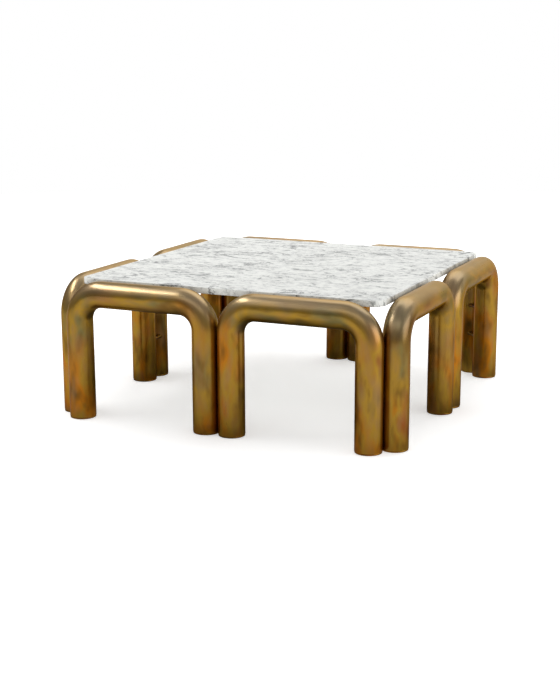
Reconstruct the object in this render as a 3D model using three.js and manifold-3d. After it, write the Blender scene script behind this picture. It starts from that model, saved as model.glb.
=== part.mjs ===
// A square low coffee table. Eight inverted-U loops of fat brass tube stand in a ring,
// two on each side, and hold a marble slab between their top bars.
// Millimetres, +Z up. The origin is on the floor under the middle of the table.

import * as THREE from 'three';
import { mergeVertices } from 'three/addons/utils/BufferGeometryUtils.js';
import Module from 'manifold-3d';

const wasm = await Module();
wasm.setup();

// Overall size
const tableWidth = 1070;
const tableHeight = 404;

// Tube
const tubeRadius = 38.1;
const tubeWall = 2;
const bendRadius = 76.2;
const tubeSides = 20;
const boreSides = 12;
const bendSteps = 6;

// Fits
const fitGap = 0.3;
const pairGap = 2;
const cornerGap = 0.8;

// Foot caps
const capHeight = 5;
const capRadius = 37.4;
const capChamfer = 1;
const plugRadius = 34.2;
const plugDepth = 6;

// Ties between neighbouring legs
const tieRadius = 6;
const tieInset = 27;
const tieLength = 60;
const tieSides = 12;
const tieHeights = [134, 228];

// Slab
const slabThickness = 18;
const slabDrop = 0.5;
const slabInset = 35;
const slabCornerRadius = 35;
const slabEdge = 1.2;

// Supports welded to the top bars, and the pads that the slab lies on
const supportLength = 150;
const supportReach = 40;
const supportDepth = 34;
const supportPlate = 4;
const supportFillet = 3;
const padLength = 110;
const padWidth = 24;
const padThickness = 3;
const padRadius = 6;
const padReach = 22;

// Places that follow from the sizes above
const loopPlane = tableWidth / 2 - tubeRadius;
const innerLeg = tubeRadius + pairGap / 2;
const outerLeg = loopPlane - (2 * tubeRadius + cornerGap) / Math.SQRT2;
const barHeight = tableHeight - tubeRadius;
const loopMiddle = (innerLeg + outerLeg) / 2;
const loopSpan = outerLeg - innerLeg;
const tubeFoot = capHeight + fitGap;
const slabHalf = loopPlane - slabInset;
const slabTop = tableHeight - slabDrop;
const slabUnderside = slabTop - slabThickness;
const supportTop = slabUnderside - padThickness - 2 * fitGap;

const materials = {
  brass: new THREE.MeshStandardMaterial({ color: 0x8a6a35, roughness: 0.38, metalness: 1 }),
  cap: new THREE.MeshStandardMaterial({ color: 0x6f5227, roughness: 0.45, metalness: 1 }),
  tie: new THREE.MeshStandardMaterial({ color: 0x7a5c30, roughness: 0.4, metalness: 1 }),
  marble: new THREE.MeshStandardMaterial({ color: 0xe9eae4, roughness: 0.22, metalness: 0 }),
  support: new THREE.MeshStandardMaterial({ color: 0x3b3833, roughness: 0.6, metalness: 0.8 }),
  pad: new THREE.MeshStandardMaterial({ color: 0x222222, roughness: 0.9, metalness: 0 }),
};

const table = new THREE.Group();

// The four sides, each with the turn that brings the front side to it.
const sides = [
  { name: 'front', turn: 0 },
  { name: 'right', turn: Math.PI / 2 },
  { name: 'back', turn: Math.PI },
  { name: 'left', turn: -Math.PI / 2 },
];

function addPiece(parent, name, geometry, material) {
  const piece = new THREE.Mesh(geometry, material.clone());
  piece.name = name;
  parent.add(piece);
  return piece;
}

function toSolid(geometry) {
  const bare = geometry.clone();
  bare.deleteAttribute('normal');
  bare.deleteAttribute('uv');
  const merged = mergeVertices(bare, 1e-4);
  const mesh = new wasm.Mesh({
    numProp: 3,
    vertProperties: new Float32Array(merged.attributes.position.array),
    triVerts: new Uint32Array(merged.index.array),
  });
  return new wasm.Manifold(mesh);
}

function toGeometry(solid) {
  const mesh = solid.getMesh();
  const geometry = new THREE.BufferGeometry();
  geometry.setAttribute('position', new THREE.BufferAttribute(mesh.vertProperties, 3));
  geometry.setIndex(new THREE.BufferAttribute(mesh.triVerts, 1));
  geometry.computeVertexNormals();
  return geometry;
}

// A closed outline with one corner at each equal turn round the middle.
function roundOutline(Outline, radius, corners) {
  const points = [];
  for (let i = 0; i < corners; i += 1) {
    const angle = (i / corners) * 2 * Math.PI;
    points.push(new THREE.Vector2(radius * Math.cos(angle), radius * Math.sin(angle)));
  }
  return new Outline(points);
}

// The middle line of one loop: up a leg, over two quarter bends and down the other leg.
// It has a station at each end of a straight stretch and evenly round each bend.
class LoopPath extends THREE.Curve {
  constructor() {
    super();
    this.stations = [{ x: -loopSpan / 2, z: tubeFoot, angle: 0 }];
    for (const side of [-1, 1]) {
      for (let i = 0; i <= bendSteps; i += 1) {
        const angle = ((side + 1) / 2 + i / bendSteps) * (Math.PI / 2);
        this.stations.push({
          x: side * (loopSpan / 2 - bendRadius) - bendRadius * Math.cos(angle),
          z: barHeight - bendRadius + bendRadius * Math.sin(angle),
          angle,
        });
      }
    }
    this.stations.push({ x: loopSpan / 2, z: tubeFoot, angle: Math.PI });
  }

  stationAt(u) {
    return this.stations[Math.round(u * (this.stations.length - 1))];
  }

  getPointAt(u, target = new THREE.Vector3()) {
    const station = this.stationAt(u);
    return target.set(station.x, 0, station.z);
  }

  getTangentAt(u, target = new THREE.Vector3()) {
    const station = this.stationAt(u);
    return target.set(Math.sin(station.angle), 0, Math.cos(station.angle));
  }
}

function loopGeometry() {
  const section = roundOutline(THREE.Shape, tubeRadius, tubeSides);
  section.holes.push(roundOutline(THREE.Path, tubeRadius - tubeWall, boreSides));
  const path = new LoopPath();
  return new THREE.ExtrudeGeometry(section, { steps: path.stations.length - 1, extrudePath: path });
}

// A cap with a flat foot under the tube's end and a short plug inside it.
function footCapGeometry() {
  const profile = [
    [0, 0],
    [capRadius - capChamfer, 0],
    [capRadius, capChamfer],
    [capRadius, capHeight],
    [plugRadius, capHeight],
    [plugRadius, capHeight + plugDepth],
    [0, capHeight + plugDepth],
  ].map(([radius, height]) => new THREE.Vector2(radius, height));
  const cap = new THREE.LatheGeometry(profile, tubeSides);
  cap.rotateX(Math.PI / 2);
  return cap;
}

// A short round bar across the groove between two legs, its ends cut to sit on the tubes.
// Local X runs from leg to leg, and local Y points out of the table.
function tieGeometry(legGap) {
  const bar = new THREE.CylinderGeometry(tieRadius, tieRadius, tieLength, tieSides);
  bar.rotateZ(Math.PI / 2);
  bar.translate(0, -tieInset, 0);
  let tie = toSolid(bar);
  for (const side of [-1, 1]) {
    const saddleRadius = (tubeRadius + fitGap) / Math.cos(Math.PI / tubeSides);
    const leg = new THREE.CylinderGeometry(saddleRadius, saddleRadius, 4 * tieRadius, tubeSides);
    leg.rotateX(Math.PI / 2);
    leg.translate(side * (tubeRadius + legGap / 2), 0, 0);
    tie = tie.subtract(toSolid(leg));
  }
  return toGeometry(tie);
}

function roundedRectangle(width, depth, radius) {
  const shape = new THREE.Shape();
  const x = width / 2 - radius;
  const y = depth / 2 - radius;
  shape.absarc(x, y, radius, 0, Math.PI / 2);
  shape.absarc(-x, y, radius, Math.PI / 2, Math.PI);
  shape.absarc(-x, -y, radius, Math.PI, 1.5 * Math.PI);
  shape.absarc(x, -y, radius, 1.5 * Math.PI, 2 * Math.PI);
  return shape;
}

// The slab, with a fine chamfer round its top and bottom edges.
function slabGeometry() {
  const flatWidth = 2 * (slabHalf - slabEdge);
  const outline = roundedRectangle(flatWidth, flatWidth, slabCornerRadius - slabEdge);
  const slab = new THREE.ExtrudeGeometry(outline, {
    depth: slabThickness - 2 * slabEdge,
    curveSegments: 8,
    bevelThickness: slabEdge,
    bevelSize: slabEdge,
    bevelSegments: 1,
  });
  slab.translate(0, 0, slabUnderside + slabEdge);
  return slab;
}

// An angle bar. Its upright lies against the tube and its flange reaches in under the slab.
function supportGeometry() {
  const angle = new THREE.Shape();
  angle.moveTo(0, 0);
  angle.lineTo(supportReach, 0);
  angle.lineTo(supportReach, -supportPlate);
  angle.lineTo(supportPlate + supportFillet, -supportPlate);
  angle.absarc(
    supportPlate + supportFillet,
    -supportPlate - supportFillet,
    supportFillet,
    Math.PI / 2,
    Math.PI,
  );
  angle.lineTo(supportPlate, -supportDepth);
  angle.lineTo(0, -supportDepth);
  const bar = new THREE.ExtrudeGeometry(angle, {
    depth: supportLength,
    curveSegments: 4,
    bevelEnabled: false,
  });
  bar.translate(0, 0, -supportLength / 2);
  bar.rotateX(Math.PI / 2);
  bar.rotateZ(Math.PI / 2);
  return bar;
}

function padGeometry() {
  return new THREE.ExtrudeGeometry(roundedRectangle(padLength, padWidth, padRadius), {
    depth: padThickness,
    curveSegments: 5,
    bevelEnabled: false,
  });
}

addPiece(table, 'marble_top', slabGeometry(), materials.marble);

for (const { name, turn } of sides) {
  const side = new THREE.Group();
  side.rotation.z = turn;
  table.add(side);

  // Two loops, each with its two foot caps, its support and its pad
  for (const half of ['a', 'b']) {
    const direction = half === 'a' ? -1 : 1;
    const place = direction * loopMiddle;
    const loop = addPiece(side, `${name}_loop_${half}`, loopGeometry(), materials.brass);
    loop.position.set(place, -loopPlane, 0);

    for (const [leg, distance] of [['inner', innerLeg], ['outer', outerLeg]]) {
      const cap = addPiece(side, `${name}_cap_${half}_${leg}`, footCapGeometry(), materials.cap);
      cap.position.set(direction * distance, -loopPlane, 0);
    }

    const support = addPiece(side, `${name}_support_${half}`, supportGeometry(), materials.support);
    support.position.set(place, -loopPlane + tubeRadius + fitGap, supportTop);

    const pad = addPiece(side, `${name}_pad_${half}`, padGeometry(), materials.pad);
    pad.position.set(place, -loopPlane + tubeRadius + padReach, supportTop + fitGap);
  }

  // Ties where the two loops of this side meet
  tieHeights.forEach((height, i) => {
    const tie = addPiece(side, `${name}_tie_${i + 1}`, tieGeometry(pairGap), materials.tie);
    tie.rotation.z = Math.PI;
    tie.position.set(0, -loopPlane, height);
  });

  // Ties at the corner to the right of this side
  const cornerPlace = (outerLeg + loopPlane) / 2;
  tieHeights.forEach((height, i) => {
    const tie = addPiece(side, `${name}_corner_tie_${i + 1}`, tieGeometry(cornerGap), materials.tie);
    tie.rotation.z = -0.75 * Math.PI;
    tie.position.set(cornerPlace, -cornerPlace, height);
  });
}

export default table;
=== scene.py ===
import math

import bmesh
import bpy
from mathutils import Matrix, Vector


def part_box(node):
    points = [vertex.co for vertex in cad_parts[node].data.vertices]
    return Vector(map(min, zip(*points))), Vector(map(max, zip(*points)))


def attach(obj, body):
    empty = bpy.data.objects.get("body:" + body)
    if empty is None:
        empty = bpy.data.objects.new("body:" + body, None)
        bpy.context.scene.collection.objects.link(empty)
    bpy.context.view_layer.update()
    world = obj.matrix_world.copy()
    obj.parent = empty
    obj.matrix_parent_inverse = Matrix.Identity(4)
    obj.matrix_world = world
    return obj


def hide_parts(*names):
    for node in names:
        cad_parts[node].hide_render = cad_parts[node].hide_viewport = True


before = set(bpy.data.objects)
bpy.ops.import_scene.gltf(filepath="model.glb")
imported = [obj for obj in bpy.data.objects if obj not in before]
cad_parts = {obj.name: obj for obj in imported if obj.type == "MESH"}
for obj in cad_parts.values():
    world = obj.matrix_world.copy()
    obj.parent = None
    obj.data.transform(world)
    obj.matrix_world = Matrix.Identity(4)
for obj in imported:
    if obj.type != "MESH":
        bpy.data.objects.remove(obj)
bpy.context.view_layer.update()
scene = bpy.context.scene
sideNames = ["front", "right", "back", "left"]
halfNames = ["a", "b"]
legNames = ["inner", "outer"]
samePlace = 1e-6  # metres; points closer than this count as one
print("frame loaded")

# places taken from the frame: a front loop, the slab and a foot cap
loopLow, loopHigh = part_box("front_loop_b")
slabLow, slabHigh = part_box("marble_top")
capLow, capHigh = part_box("front_cap_b_inner")
tubeRadius = (loopHigh.y - loopLow.y) / 2
loopPlane = -(loopHigh.y + loopLow.y) / 2
innerLeg = loopLow.x + tubeRadius
outerLeg = loopHigh.x - tubeRadius
barHeight = loopHigh.z - tubeRadius
tubeFoot = loopLow.z
capRadius = (capHigh.x - capLow.x) / 2


def turned(index):
    # the turn that brings the front side to side number index
    return Matrix.Rotation(index * math.pi / 2, 4, "Z")


def ringEdges(geometry):
    # the open edges among what an operator has made
    return [g for g in geometry if isinstance(g, bmesh.types.BMEdge) and g.is_boundary]


def vertsOf(edges):
    return list({v for e in edges for v in e.verts})


def pull(bm, edges, move, steps=1):
    # draws an open ring out along a straight line
    for _ in range(steps):
        edges = ringEdges(bmesh.ops.extrude_edge_only(bm, edges=edges)["geom"])
        bmesh.ops.translate(bm, verts=vertsOf(edges), vec=Vector(move) / steps)
    return edges


def swing(bm, edges, centre, axis, angle, steps):
    # carries an open ring round a bend
    made = bmesh.ops.spin(bm, geom=vertsOf(edges) + edges, cent=centre, axis=axis,
                          angle=angle, steps=steps, use_duplicate=False)
    return [g for g in made["geom_last"] if isinstance(g, bmesh.types.BMEdge)]


def turnProfile(points, steps):
    # turns an outline of (radius, height) points round the Z axis into a closed solid
    bm = bmesh.new()
    verts = [bm.verts.new((r, 0, z)) for r, z in points]
    edges = [bm.edges.new(pair) for pair in zip(verts, verts[1:])]
    bmesh.ops.spin(bm, geom=verts + edges, cent=(0, 0, 0), axis=(0, 0, 1),
                   angle=2 * math.pi, steps=steps, use_merge=True, use_duplicate=False)
    bmesh.ops.remove_doubles(bm, verts=bm.verts[:], dist=samePlace)
    return bm


def roundedBlock(size, cornerRadius, cornerSteps, edgeRadius, edgeSteps):
    # a flat block with round corners in plan and softened top and bottom edges
    bm = bmesh.new()
    bmesh.ops.create_cube(bm, size=1)
    bmesh.ops.scale(bm, verts=bm.verts[:], vec=size)
    upright = [e for e in bm.edges if abs(e.verts[0].co.z - e.verts[1].co.z) > size[2] / 2]
    bmesh.ops.bevel(bm, geom=upright, affect="EDGES", offset=cornerRadius,
                    segments=cornerSteps, profile=0.5, material=-1)
    rim = [e for e in bm.edges if abs(e.verts[0].co.z - e.verts[1].co.z) < samePlace]
    bmesh.ops.bevel(bm, geom=rim, affect="EDGES", offset=edgeRadius,
                    segments=edgeSteps, profile=0.5, material=-1)
    return bm


def finishPiece(bm, name, material, place, replaces=(), sharp=35):
    # turns the drawing into a piece of the table, riding on its one body
    bmesh.ops.transform(bm, matrix=place, verts=bm.verts[:])
    bmesh.ops.recalc_face_normals(bm, faces=bm.faces[:])
    mesh = bpy.data.meshes.new(name)
    bm.to_mesh(mesh)
    bm.free()
    mesh.polygons.foreach_set("use_smooth", [True] * len(mesh.polygons))
    mesh.set_sharp_from_angle(angle=math.radians(sharp))
    mesh.materials.append(material)
    piece = bpy.data.objects.new(name, mesh)
    scene.collection.objects.link(piece)
    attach(piece, "root")
    if replaces:
        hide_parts(*replaces)
    return piece


# building blocks for the materials

def startMaterial(name):
    material = bpy.data.materials.new(name)
    material.use_nodes = True
    tree = material.node_tree
    return material, tree, tree.nodes["Principled BSDF"]


def addNode(tree, kind, **values):
    # values are sockets by their names, or else settings of the node
    node = tree.nodes.new(kind)
    for key, value in values.items():
        if key in node.inputs and not hasattr(node, key):
            node.inputs[key].default_value = value
        else:
            setattr(node, key, value)
    return node


def addNoise(tree, vector, scale, detail, roughness, distortion=0.0):
    noise = addNode(tree, "ShaderNodeTexNoise", Scale=scale, Detail=detail,
                    Roughness=roughness, Distortion=distortion)
    tree.links.new(vector, noise.inputs["Vector"])
    return noise.outputs["Fac"]


def addRamp(tree, value, stops):
    ramp = addNode(tree, "ShaderNodeValToRGB")
    elements = ramp.color_ramp.elements
    while len(elements) < len(stops):
        elements.new(0.5)
    for element, (position, colour) in zip(elements, stops):
        element.position = position
        element.color = (*colour, 1)
    tree.links.new(value, ramp.inputs["Fac"])
    return ramp.outputs["Color"]


def addRange(tree, value, low, high, newLow, newHigh):
    node = addNode(tree, "ShaderNodeMapRange")
    for socket, number in zip(("From Min", "From Max", "To Min", "To Max"), (low, high, newLow, newHigh)):
        node.inputs[socket].default_value = number
    tree.links.new(value, node.inputs["Value"])
    return node.outputs["Result"]


def addMath(tree, operation, first, second=None, clamp=False):
    node = addNode(tree, "ShaderNodeMath", operation=operation, use_clamp=clamp)
    for socket, value in zip(node.inputs, (first, second)):
        if isinstance(value, bpy.types.NodeSocket):
            tree.links.new(value, socket)
        elif value is not None:
            socket.default_value = value
    return node.outputs[0]


def addMix(tree, factor, first, second, blend="MIX"):
    node = addNode(tree, "ShaderNodeMix", data_type="RGBA", blend_type=blend)
    for socket, value in ((node.inputs[0], factor), (node.inputs[6], first), (node.inputs[7], second)):
        if isinstance(value, bpy.types.NodeSocket):
            tree.links.new(value, socket)
        elif isinstance(value, float):
            socket.default_value = value
        else:
            socket.default_value = (*value, 1)
    return node.outputs[2]


def addBump(tree, height, strength, distance):
    bump = addNode(tree, "ShaderNodeBump", Strength=strength, Distance=distance)
    tree.links.new(height, bump.inputs["Height"])
    return bump.outputs["Normal"]


def objectCoords(tree):
    return addNode(tree, "ShaderNodeTexCoord").outputs["Object"]


def placedCoords(tree, source, scale, location):
    mapping = addNode(tree, "ShaderNodeMapping", Scale=scale, Location=location)
    tree.links.new(source, mapping.inputs["Vector"])
    return mapping.outputs["Vector"]


def splitVector(tree, source):
    parts = addNode(tree, "ShaderNodeSeparateXYZ")
    tree.links.new(source, parts.inputs[0])
    return parts.outputs


# aged brass. A pattern is its scale across and along the tube, its detail, distortion and place.
# A range is (low, high, new low, new high).
brass = {
    "gold": (0.40, 0.225, 0.022),
    "amber": (0.50, 0.172, 0.003),
    "olive": (0.21, 0.165, 0.050),
    "copper": (0.30, 0.085, 0.012),
    "umber": (0.13, 0.062, 0.006),
    "rose": (0.35, 0.185, 0.075),
    # pale tone of the painted highlight on the upper side of the bars and bends
    "paintedHighlight": (0.55, 0.435, 0.290),
    "edgeTint": (0.62, 0.45, 0.24),
    "warm": [(0.26, "umber"), (0.42, "amber"), (0.56, "gold"), (0.74, "copper")],
    "dull": [(0.28, "umber"), (0.44, "olive"), (0.56, "gold"), (0.72, "olive")],
    "patches": (17, 8, 2, 0.15, (0, 0, 0)),
    "drift": (9, 4.5, 2, 0.15, (11, 4, 6)),
    "blotches": (32, 13, 2, 0.15, (5, 9, 2)),
    "streaks": (90, 7, 3, 0.2, (3, 1, 2)),
    "scratches": (500, 14, 2, 0.0, (7, 2, 5)),
    "warmByHeight": (0.36, 0.12, 0.15, 0.8),
    "warmByDrift": (0.36, 0.64, -0.5, 0.5),
    "roseSpots": (0.50, 0.74, 0.0, 0.45),
    "umberSpots": (0.46, 0.26, 0.0, 0.6),
    # where the painted highlight lies: how far out from the tube's middle, and how high
    "paintedHighlightSide": (0.006, 0.030, 0.0, 0.66),
    "paintedHighlightHeight": (0.30, 0.385, 0.0, 1.0),
    "streakTones": [(0.30, (0.78, 0.75, 0.70)), (0.55, (1, 1, 1)), (0.8, (1.0, 0.95, 0.88))],
    "streakShare": 0.4,
    "roughness": (0.3, 0.7, 0.27, 0.40),
    "scratchStrength": 0.08,
    "scratchDepth": 0.0004,
    "lacquer": 0.22,
    "lacquerDensity": 1.5,
    "lacquerRoughness": 0.14,
}


def makeBrass(name, alongTube, darken=1.0):
    material, tree, shader = startMaterial(name)
    if alongTube:
        source = addNode(tree, "ShaderNodeAttribute", attribute_name="tubeRun").outputs["Vector"]
    else:
        source = objectCoords(tree)

    def patina(key):
        across, along, detail, distortion, place = brass[key]
        coords = placedCoords(tree, source, (across, across, along), place)
        return addNoise(tree, coords, 1.0, detail, 0.5, distortion)

    def tone(key):
        return tuple(c * darken for c in brass[key])

    patches = patina("patches")
    blotches = patina("blotches")
    streaks = patina("streaks")
    warm = addRamp(tree, patches, [(stop, tone(key)) for stop, key in brass["warm"]])
    dull = addRamp(tree, patches, [(stop, tone(key)) for stop, key in brass["dull"]])
    # the colour is duller on the bars and bends, and warmer down the legs
    height = splitVector(tree, objectCoords(tree))["Z"]
    byHeight = addRange(tree, height, *brass["warmByHeight"])
    byDrift = addRange(tree, patina("drift"), *brass["warmByDrift"])
    base = addMix(tree, addMath(tree, "ADD", byHeight, byDrift, True), dull, warm)
    base = addMix(tree, addRange(tree, blotches, *brass["roseSpots"]), base, tone("rose"))
    base = addMix(tree, addRange(tree, blotches, *brass["umberSpots"]), base, tone("umber"))
    if alongTube:
        # the upper side of the bars and bends gets a paler painted highlight
        upperSide = addRange(tree, splitVector(tree, source)["X"], *brass["paintedHighlightSide"])
        onBar = addRange(tree, height, *brass["paintedHighlightHeight"])
        base = addMix(tree, addMath(tree, "MULTIPLY", upperSide, onBar), base, tone("paintedHighlight"))
    streakTones = addRamp(tree, streaks, brass["streakTones"])
    base = addMix(tree, brass["streakShare"], base, streakTones, "MULTIPLY")
    tree.links.new(base, shader.inputs["Base Color"])
    tree.links.new(addRange(tree, streaks, *brass["roughness"]), shader.inputs["Roughness"])
    scratches = addBump(tree, patina("scratches"), brass["scratchStrength"], brass["scratchDepth"])
    tree.links.new(scratches, shader.inputs["Normal"])
    shader.inputs["Metallic"].default_value = 1.0
    shader.inputs["Specular Tint"].default_value = (*brass["edgeTint"], 1)
    shader.inputs["Coat Weight"].default_value = brass["lacquer"]
    shader.inputs["Coat IOR"].default_value = brass["lacquerDensity"]
    shader.inputs["Coat Roughness"].default_value = brass["lacquerRoughness"]
    return material


# veined marble. A pattern is its stretch, place, scale, detail, roughness and distortion.
# A gate is the range of the cloudy pattern over which those veins come in.
marble = {
    "ground": (0.86, 0.87, 0.83),
    "cloud": (0.52, 0.53, 0.515),
    "vein": (0.04, 0.045, 0.05),
    "fade": ((1, 1.4, 1), (2, 5, 1), 11.0, 5, 0.6, 0.0),
    "mottle": ((1, 1.4, 1), (4, 3, 8), 42.0, 6, 0.7, 0.6),
    "clouds": ((0.8, 1.2, 1), (9, 6, 3), 10.0, 6, 0.65, 0.9),
    "bold": ((0.7, 1.25, 1), (0, 0, 0), 8.0, 7, 0.6, 0.7),
    "middling": ((0.7, 1.25, 1), (5, 2, 1), 17.0, 6, 0.6, 0.5),
    "fine": ((0.7, 1.25, 1), (3, 7, 4), 44.0, 4, 0.6, 0.3),
    "boldWidth": 0.024,
    "middlingWidth": 0.030,
    "fineWidth": 0.05,
    "boldGate": (0.46, 0.60, 0.0, 1.0),
    "middlingGate": (0.44, 0.60, 0.0, 1.0),
    "fineGate": (0.44, 0.60, 0.0, 0.9),
    "cloudShare": (0.50, 0.72, 0.0, 0.55),
    "mottleShare": (0.50, 0.66, 0.0, 0.75),
    "roughness": (0.3, 0.7, 0.30, 0.38),
    "reliefStrength": 0.04,
    "reliefDepth": 0.0003,
    "polish": 0.18,
}


def makeMarble(name):
    material, tree, shader = startMaterial(name)
    source = objectCoords(tree)

    def pattern(key):
        stretch, place, scale, detail, roughness, distortion = marble[key]
        return addNoise(tree, placedCoords(tree, source, stretch, place), scale, detail,
                        roughness, distortion)

    def veins(key, gatedBy):
        # a vein runs where the cloudy pattern crosses its middle value
        away = addMath(tree, "ABSOLUTE", addMath(tree, "SUBTRACT", pattern(key), 0.5))
        vein = addRange(tree, away, 0.0, marble[key + "Width"], 1.0, 0.0)
        return addMath(tree, "MULTIPLY", vein, addRange(tree, gatedBy, *marble[key + "Gate"]))

    mottle = pattern("mottle")
    clouds = pattern("clouds")
    colour = addMix(tree, addRange(tree, clouds, *marble["cloudShare"]), marble["ground"], marble["cloud"])
    colour = addMix(tree, addRange(tree, mottle, *marble["mottleShare"]), colour, marble["cloud"])
    colour = addMix(tree, veins("fine", mottle), colour, marble["cloud"])
    colour = addMix(tree, veins("middling", clouds), colour, marble["vein"])
    colour = addMix(tree, veins("bold", pattern("fade")), colour, marble["vein"])
    tree.links.new(colour, shader.inputs["Base Color"])
    tree.links.new(addRange(tree, mottle, *marble["roughness"]), shader.inputs["Roughness"])
    relief = addBump(tree, mottle, marble["reliefStrength"], marble["reliefDepth"])
    tree.links.new(relief, shader.inputs["Normal"])
    shader.inputs["Specular IOR Level"].default_value = marble["polish"]
    return material


# blackened steel and rubber, each with a scale, detail and roughness for its grain and its wear
blackSteelFinish = {
    "grain": (900.0, 2, 0.5),
    "wear": (40.0, 5, 0.6),
    "tones": [(0.35, (0.018, 0.017, 0.016)), (0.65, (0.045, 0.042, 0.038))],
    "roughness": (0.3, 0.7, 0.45, 0.65),
    "grainStrength": 0.2,
    "grainDepth": 0.0003,
    "metallic": 0.4,
}
padRubberFinish = {
    "grain": (700.0, 3, 0.5),
    "wear": (60.0, 4, 0.5),
    "tones": [(0.3, (0.012, 0.012, 0.012)), (0.7, (0.035, 0.034, 0.032))],
    "roughness": (0.3, 0.7, 0.75, 0.9),
    "grainStrength": 0.3,
    "grainDepth": 0.0003,
    "metallic": 0.0,
}


def makeDarkFinish(name, finish):
    material, tree, shader = startMaterial(name)
    source = objectCoords(tree)
    wear = addNoise(tree, source, *finish["wear"])
    tree.links.new(addRamp(tree, wear, finish["tones"]), shader.inputs["Base Color"])
    tree.links.new(addRange(tree, wear, *finish["roughness"]), shader.inputs["Roughness"])
    grain = addNoise(tree, source, *finish["grain"])
    relief = addBump(tree, grain, finish["grainStrength"], finish["grainDepth"])
    tree.links.new(relief, shader.inputs["Normal"])
    shader.inputs["Metallic"].default_value = finish["metallic"]
    return material


loopBrass = makeBrass("agedTubeBrass", True)
capBrass = makeBrass("agedCapBrass", False, darken=0.85)
tieBrass = makeBrass("agedTieBrass", False, darken=0.5)
slabMarble = makeMarble("veinedMarble")
blackSteel = makeDarkFinish("blackenedSteel", blackSteelFinish)
padRubber = makeDarkFinish("blackRubber", padRubberFinish)
print("materials made")

# loops of bent tube
tube = {
    "sides": 64,
    "bendRadius": 0.0762,
    "bendSteps": 20,
    "legSteps": 10,
    "barSteps": 8,
    "wall": 0.002,
    "plugRoom": 0.0063,  # depth of the open end that a foot cap's plug goes into
    "footEdge": 0.0005,
    "footEdgeSteps": 2,
    "patternShift": 2.7,  # from one loop to the next, so that no two look alike
}


def unbend(point, halfSpan):
    # how far out, across and along the tube a point of it lies
    bendHeight = barHeight - tube["bendRadius"]
    bendMiddle = halfSpan - tube["bendRadius"]
    quarter = tube["bendRadius"] * math.pi / 2
    side = 1 if point.x > 0 else -1
    x = abs(point.x)
    if point.z < bendHeight:
        out = x - halfSpan
        run = bendMiddle + quarter + bendHeight - point.z
    elif x > bendMiddle:
        out = math.hypot(x - bendMiddle, point.z - bendHeight) - tube["bendRadius"]
        run = bendMiddle + math.atan2(x - bendMiddle, point.z - bendHeight) * tube["bendRadius"]
    else:
        out = point.z - barHeight
        run = x
    return Vector((out, point.y, side * run))


def closeFoot(bm, edges, legX):
    # turns the tube's end in over its wall and up to the plug
    bore = (tubeRadius - tube["wall"]) / tubeRadius
    edges = ringEdges(bmesh.ops.extrude_edge_only(bm, edges=edges)["geom"])
    bmesh.ops.scale(bm, verts=vertsOf(edges), vec=(bore, bore, 1), space=Matrix.Translation((-legX, 0, 0)))
    edges = pull(bm, edges, (0, 0, tube["plugRoom"]))
    bmesh.ops.edgeloop_fill(bm, edges=edges)


def softenFoot(bm, halfSpan):
    # rounds the outer rim of both feet
    def onRim(v):
        fromLeg = math.hypot(abs(v.co.x) - halfSpan, v.co.y)
        return abs(v.co.z - tubeFoot) < samePlace and fromLeg > tubeRadius - tube["wall"] / 2

    rim = [e for e in bm.edges if all(onRim(v) for v in e.verts)]
    bmesh.ops.bevel(bm, geom=rim, affect="EDGES", offset=tube["footEdge"],
                    segments=tube["footEdgeSteps"], profile=0.5, material=-1)


def makeLoop(side, half, number):
    node = f"{side}_loop_{half}"
    low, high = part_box(node)
    alongX = high.x - low.x > high.y - low.y
    halfSpan = max(high.x - low.x, high.y - low.y) / 2 - tubeRadius
    bendHeight = barHeight - tube["bendRadius"]
    bendMiddle = halfSpan - tube["bendRadius"]
    rise = bendHeight - tubeFoot
    bm = bmesh.new()
    bmesh.ops.create_circle(bm, segments=tube["sides"], radius=tubeRadius)
    bmesh.ops.translate(bm, verts=bm.verts[:], vec=(-halfSpan, 0, tubeFoot))
    first = bm.edges[:]
    ring = pull(bm, first, (0, 0, rise), tube["legSteps"])
    ring = swing(bm, ring, (-bendMiddle, 0, bendHeight), (0, 1, 0), math.pi / 2, tube["bendSteps"])
    ring = pull(bm, ring, (2 * bendMiddle, 0, 0), tube["barSteps"])
    ring = swing(bm, ring, (bendMiddle, 0, bendHeight), (0, 1, 0), math.pi / 2, tube["bendSteps"])
    last = pull(bm, ring, (0, 0, -rise), tube["legSteps"])
    closeFoot(bm, first, -halfSpan)
    closeFoot(bm, last, halfSpan)
    softenFoot(bm, halfSpan)
    shift = Vector((0, 0, tube["patternShift"] * number))
    run = [unbend(v.co, halfSpan) + shift for v in bm.verts]
    centre = (low + high) / 2
    place = Matrix.Translation((centre.x, centre.y, 0)) @ turned(0 if alongX else 1)
    piece = finishPiece(bm, f"{side}-loop-{half}", loopBrass, place, [node])
    attribute = piece.data.attributes.new("tubeRun", "FLOAT_VECTOR", "POINT")
    attribute.data.foreach_set("vector", [c for v in run for c in v])


for sideNumber, side in enumerate(sideNames):
    for halfNumber, half in enumerate(halfNames):
        makeLoop(side, half, 2 * sideNumber + halfNumber)
print("loops made")

# foot caps and the rubber glides let into them
cap = {
    "turnSteps": 64,
    "edge": 0.0006,
    "seam": 0.0003,  # gap between the cap and the tube's end
    "plugGap": 0.0015,  # from the plug to the tube's bore
    "standHeight": 0.0008,  # how far the glide holds the cap off the floor
}
glide = {
    "turnSteps": 40,
    "holeRadius": 0.026,
    "holeTop": 0.0024,
    "sideGap": 0.0004,
    "topGap": 0.0002,
    "edge": [(0.0012, 0.0), (0.0003, 0.0003), (0.0, 0.001)],  # in from the rim, up from the floor
}


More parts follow.
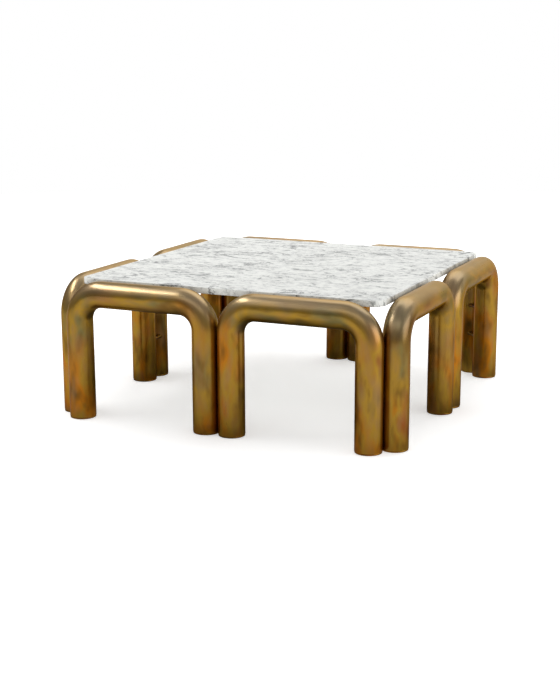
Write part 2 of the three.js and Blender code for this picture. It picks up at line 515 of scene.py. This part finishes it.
def makeCap(side, half, leg):
    node = f"{side}_cap_{half}_{leg}"
    low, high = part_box(node)
    centre = (low + high) / 2
    place = Matrix.Translation((centre.x, centre.y, 0))
    edge = cap["edge"]
    ground = cap["standHeight"]
    top = tubeFoot - cap["seam"]
    plug = tubeRadius - tube["wall"] - cap["plugGap"]
    bm = turnProfile([(0, glide["holeTop"]), (glide["holeRadius"], glide["holeTop"]),
                      (glide["holeRadius"], ground), (capRadius - edge, ground),
                      (capRadius, ground + edge), (capRadius, top - edge / 2),
                      (capRadius - edge / 2, top), (plug, top), (plug, high.z), (0, high.z)],
                     cap["turnSteps"])
    finishPiece(bm, f"{side}-cap-{half}-{leg}", capBrass, place, [node], sharp=50)
    rim = glide["holeRadius"] - glide["sideGap"]
    glideTop = glide["holeTop"] - glide["topGap"]
    softened = [(rim - inward, low.z + up) for inward, up in glide["edge"]]
    bm = turnProfile([(0, low.z), *softened, (rim, glideTop), (0, glideTop)], glide["turnSteps"])
    finishPiece(bm, f"{side}-glide-{half}-{leg}", padRubber, place)


for side in sideNames:
    for half in halfNames:
        for leg in legNames:
            makeCap(side, half, leg)
print("foot caps made")

# ties between neighbouring legs
tie = {
    "sides": 24,
    "rings": 12,
    "waist": 0.0052,
    "weld": 0.0016,
    "weldSharpness": 5,  # higher keeps the swelling nearer to the ends
    "inset": 0.027,
}


def makeTie(name, node, legDistance, place):
    # its rings close up on the two legs' round sides, and swell a little into the weld
    bm = bmesh.new()
    bmesh.ops.create_circle(bm, segments=tie["sides"], radius=1)
    pull(bm, bm.edges[:], (0, 0, 1), tie["rings"])
    for v in bm.verts:
        share = 2 * v.co.z - 1
        radius = tie["waist"] + tie["weld"] * abs(share) ** tie["weldSharpness"]
        y = -tie["inset"] + radius * v.co.x
        reach = legDistance - math.sqrt(tubeRadius ** 2 - y ** 2)
        v.co = (share * reach, y, radius * v.co.y)
    bmesh.ops.holes_fill(bm, edges=bm.edges[:], sides=tie["sides"])
    finishPiece(bm, name, tieBrass, place, [node], sharp=60)


cornerMiddle = (outerLeg + loopPlane) / 2
cornerLeg = (loopPlane - outerLeg) / math.sqrt(2)
for sideNumber, side in enumerate(sideNames):
    for number in (1, 2):
        low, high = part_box(f"{side}_tie_{number}")
        height = (low.z + high.z) / 2
        middle = Matrix.Translation((0, -loopPlane, height)) @ turned(2)
        corner = Matrix.Translation((cornerMiddle, -cornerMiddle, height)) @ turned(-1.5)
        makeTie(f"{side}-tie-{number}", f"{side}_tie_{number}", innerLeg, turned(sideNumber) @ middle)
        makeTie(f"{side}-corner-tie-{number}", f"{side}_corner_tie_{number}", cornerLeg,
                turned(sideNumber) @ corner)
print("ties made")

# folded supports under the slab, with their weld beads and pads
support = {
    "plate": 0.004,
    "innerCurve": 0.004,
    "outerCurve": 0.003,
    "tipCurve": 0.010,
    "curveSteps": 6,
}
weld = {
    "sides": 10,
    "length": 0.026,
    "radius": 0.0026,
    "ripples": 9,
    "ripple": 0.12,
    "ringsPerRipple": 4,
    "tip": 0.02,  # least share of the radius, squared
    "fullness": 4,  # higher keeps the bead thick nearer to its ends
    "places": (-0.045, 0.0, 0.045),
    "aboveLowerEdge": 0.0012,
    "belowUpperEdge": 0.006,
}
pad = {
    "cornerRadius": 0.006,
    "cornerSteps": 6,
    "edge": 0.0005,
    "edgeSteps": 2,
}


def makeSupport(side, half, sideNumber):
    # an angle of bent plate, drawn on the front side and turned to its own
    low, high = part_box(f"front_support_{half}")
    plate = support["plate"]
    outline = [(low.y, high.z), (high.y, high.z), (high.y, high.z - plate),
               (low.y + plate, high.z - plate), (low.y + plate, low.z), (low.y, low.z)]
    bm = bmesh.new()
    face = bm.faces.new([bm.verts.new((low.x, y, z)) for y, z in outline])
    grown = bmesh.ops.extrude_face_region(bm, geom=[face])["geom"]
    bmesh.ops.translate(bm, verts=[g for g in grown if isinstance(g, bmesh.types.BMVert)],
                        vec=(high.x - low.x, 0, 0))

    def lengthwise(y, z):
        return [e for e in bm.edges if all(abs(v.co.y - y) < samePlace and abs(v.co.z - z) < samePlace
                                           for v in e.verts)]

    def upright(y):
        return [e for e in bm.edges if all(abs(v.co.y - y) < samePlace for v in e.verts)
                and abs(e.verts[0].co.z - e.verts[1].co.z) > plate / 2]

    curves = [(lengthwise(low.y + plate, high.z - plate), support["innerCurve"]),
              (lengthwise(low.y, high.z), support["outerCurve"]),
              (upright(high.y), support["tipCurve"])]
    for edges, offset in curves:
        bmesh.ops.bevel(bm, geom=edges, affect="EDGES", offset=offset,
                        segments=support["curveSteps"], profile=0.5, material=-1)
    finishPiece(bm, f"{side}-support-{half}", blackSteel, turned(sideNumber),
                [f"{side}_support_{half}"])


def makeWelds(side, half, sideNumber):
    # two rows of beads between the support's upright and the round bar
    low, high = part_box(f"front_support_{half}")
    middle = (low.x + high.x) / 2
    rows = {"lower": low.z + weld["aboveLowerEdge"], "upper": high.z - weld["belowUpperEdge"]}
    for number, shift in enumerate(weld["places"]):
        for row, z in rows.items():
            barSide = math.sqrt(tubeRadius ** 2 - (z - barHeight) ** 2) - loopPlane
            makeWeld(f"{side}-weld-{half}-{row}-{number + 1}", middle + shift, (barSide + low.y) / 2, z,
                     turned(sideNumber))


def makeWeld(name, x, y, z, place):
    bm = bmesh.new()
    bmesh.ops.create_circle(bm, segments=weld["sides"], radius=1)
    pull(bm, bm.edges[:], (0, 0, 1), weld["ripples"] * weld["ringsPerRipple"])
    for v in bm.verts:
        share = 2 * v.co.z - 1
        end = math.sqrt(max(weld["tip"], 1 - abs(share) ** weld["fullness"]))
        ripple = 1 - weld["ripple"] * (1 - abs(math.cos(v.co.z * weld["ripples"] * math.pi)))
        radius = weld["radius"] * end * ripple
        v.co = (x + share * weld["length"] / 2, y + radius * v.co.x, z + radius * v.co.y)
    bmesh.ops.holes_fill(bm, edges=bm.edges[:], sides=weld["sides"])
    finishPiece(bm, name, tieBrass, place)


def makePad(side, half, sideNumber):
    low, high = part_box(f"front_pad_{half}")
    bm = roundedBlock(high - low, pad["cornerRadius"], pad["cornerSteps"], pad["edge"], pad["edgeSteps"])
    place = turned(sideNumber) @ Matrix.Translation((low + high) / 2)
    finishPiece(bm, f"{side}-pad-{half}", padRubber, place, [f"{side}_pad_{half}"])


for sideNumber, side in enumerate(sideNames):
    for half in halfNames:
        makeSupport(side, half, sideNumber)
        makeWelds(side, half, sideNumber)
        makePad(side, half, sideNumber)
print("supports made")

# marble slab
slab = {
    "cornerRadius": 0.035,
    "cornerSteps": 20,
    "edge": 0.0014,
    "edgeSteps": 3,
    "flatNormal": 0.999,
}


def makeSlab():
    bm = roundedBlock(slabHigh - slabLow, slab["cornerRadius"], slab["cornerSteps"],
                      slab["edge"], slab["edgeSteps"])
    place = Matrix.Translation((slabLow + slabHigh) / 2)
    piece = finishPiece(bm, "slab", slabMarble, place, ["marble_top"])
    for polygon in piece.data.polygons:
        if abs(polygon.normal.z) > slab["flatNormal"]:
            polygon.use_smooth = False


makeSlab()
print("slab made")

# studio: a reach is a range of distance from the table's middle, in metres
studio = {
    "floorRadius": 6.0,
    "floorSteps": 96,
    "floorColour": (0.80, 0.80, 0.80),
    "floorRoughness": 0.9,
    # the floor glows less under the table, a painted shadow, and fully further out
    "floorGlowWithPaintedShadow": (0.42, 1.0),
    "paintedShadowReach": (0.5, 1.35),
    "mirroredFloor": (0.08, 1.00),
    "mirroredReach": (0.45, 1.05),
    "tentSeen": 1.0,
    "tentStrength": 0.40,
    "mirroredTent": 0.30,
}
# soft lights: power in watts, width and height, place, and the point it faces
lights = {
    "topLight": (21, (1.9, 0.5), (-1.7, -0.65, 2.4), (0, 0, 0.3)),
    "backLight": (46, (8.0, 2.4), (0.3, 3.2, 1.3), (0, 0, 0.4)),
    "roofLight": (38, (4.0, 2.4), (0.2, 1.7, 3.0), (0, 0, 0.3)),
    "keyLight": (12, (4.5, 1.2), (0.2, -2.6, 2.5), (0, 0, 0.2)),
    "sideLight": (26, (2.4, 1.6), (3.2, -0.2, 1.0), (0, 0, 0.2)),
}


def chooseBy(tree, ray, other, chosen):
    # one look for rays of the named kind, and another look for the rest
    mix = addNode(tree, "ShaderNodeMixShader")
    tree.links.new(addNode(tree, "ShaderNodeLightPath").outputs[ray], mix.inputs["Fac"])
    tree.links.new(other, mix.inputs[1])
    tree.links.new(chosen, mix.inputs[2])
    return mix.outputs[0]


def makeFloor():
    bm = bmesh.new()
    bmesh.ops.create_circle(bm, cap_ends=True, segments=studio["floorSteps"], radius=studio["floorRadius"])
    mesh = bpy.data.meshes.new("floor")
    bm.to_mesh(mesh)
    bm.free()
    floor = bpy.data.objects.new("floor", mesh)
    scene.collection.objects.link(floor)
    material, tree, shader = startMaterial("paperFloor")
    shader.inputs["Base Color"].default_value = (*studio["floorColour"], 1)
    shader.inputs["Roughness"].default_value = studio["floorRoughness"]
    shader.inputs["Specular IOR Level"].default_value = 0.0
    shader.inputs["Emission Color"].default_value = (1, 1, 1, 1)
    away = addNode(tree, "ShaderNodeVectorMath", operation="LENGTH")
    tree.links.new(objectCoords(tree), away.inputs[0])
    # the glow rises with distance from the table's middle: a painted shadow under the table
    glow = addRange(tree, away.outputs["Value"], *studio["paintedShadowReach"], *studio["floorGlowWithPaintedShadow"])
    tree.links.new(glow, shader.inputs["Emission Strength"])
    # in reflections the floor is dark under the table and bright further out
    mirrored = addNode(tree, "ShaderNodeEmission")
    strength = addRange(tree, away.outputs["Value"], *studio["mirroredReach"], *studio["mirroredFloor"])
    tree.links.new(strength, mirrored.inputs["Strength"])
    seen = chooseBy(tree, "Is Glossy Ray", shader.outputs["BSDF"], mirrored.outputs[0])
    tree.links.new(seen, tree.nodes["Material Output"].inputs["Surface"])
    mesh.materials.append(material)


def makeTent():
    # a white tent that lights the table evenly, looks white itself and looks dim in reflections
    world = bpy.data.worlds.new("tent")
    world.use_nodes = True
    scene.world = world
    tree = world.node_tree
    tent = tree.nodes["Background"]
    tent.inputs["Strength"].default_value = studio["tentStrength"]
    tent.inputs["Color"].default_value = (1, 1, 1, 1)
    mirrored = addNode(tree, "ShaderNodeBackground", Color=(1, 1, 1, 1), Strength=studio["mirroredTent"])
    seen = addNode(tree, "ShaderNodeBackground", Color=(1, 1, 1, 1), Strength=studio["tentSeen"])
    unseen = chooseBy(tree, "Is Glossy Ray", tent.outputs[0], mirrored.outputs[0])
    tree.links.new(chooseBy(tree, "Is Camera Ray", unseen, seen.outputs[0]),
                   tree.nodes["World Output"].inputs["Surface"])


def addSoftLight(name, power, size, place, aim):
    lamp = bpy.data.lights.new(name, "AREA")
    lamp.shape = "RECTANGLE"
    lamp.size, lamp.size_y = size
    lamp.energy = power
    holder = bpy.data.objects.new(name, lamp)
    scene.collection.objects.link(holder)
    holder.location = place
    holder.rotation_euler = (Vector(aim) - Vector(place)).to_track_quat("-Z", "Y").to_euler()
    holder.visible_camera = False


makeFloor()
makeTent()
for name, values in lights.items():
    addSoftLight(name, *values)
scene.view_settings.view_transform = "Standard"
print("studio made")

# camera: angles in radians, where azimuth and elevation place it and heading and dip aim it
lens = {
    "azimuth": 0.41091,
    "elevation": 0.20971,
    "distance": 4.1122,
    "aimHeight": 0.2,
    "heading": 0.41887,
    "dip": 0.22529,
    "roll": -0.00218,
    "focalLength": 68.46,
    "sensorWidth": 36,
}


def makeCamera():
    data = bpy.data.cameras.new("camera")
    data.sensor_width = lens["sensorWidth"]
    data.lens = lens["focalLength"]
    camera = bpy.data.objects.new("camera", data)
    scene.collection.objects.link(camera)
    level = math.cos(lens["elevation"]) * lens["distance"]
    rise = math.sin(lens["elevation"]) * lens["distance"]
    place = Vector((math.sin(lens["azimuth"]) * level, -math.cos(lens["azimuth"]) * level,
                    lens["aimHeight"] + rise))
    turn = (Matrix.Rotation(lens["heading"], 4, "Z")
            @ Matrix.Rotation(math.pi / 2 - lens["dip"], 4, "X")
            @ Matrix.Rotation(lens["roll"], 4, "Z"))
    camera.matrix_world = Matrix.Translation(place) @ turn
    scene.camera = camera


makeCamera()
print("camera made")
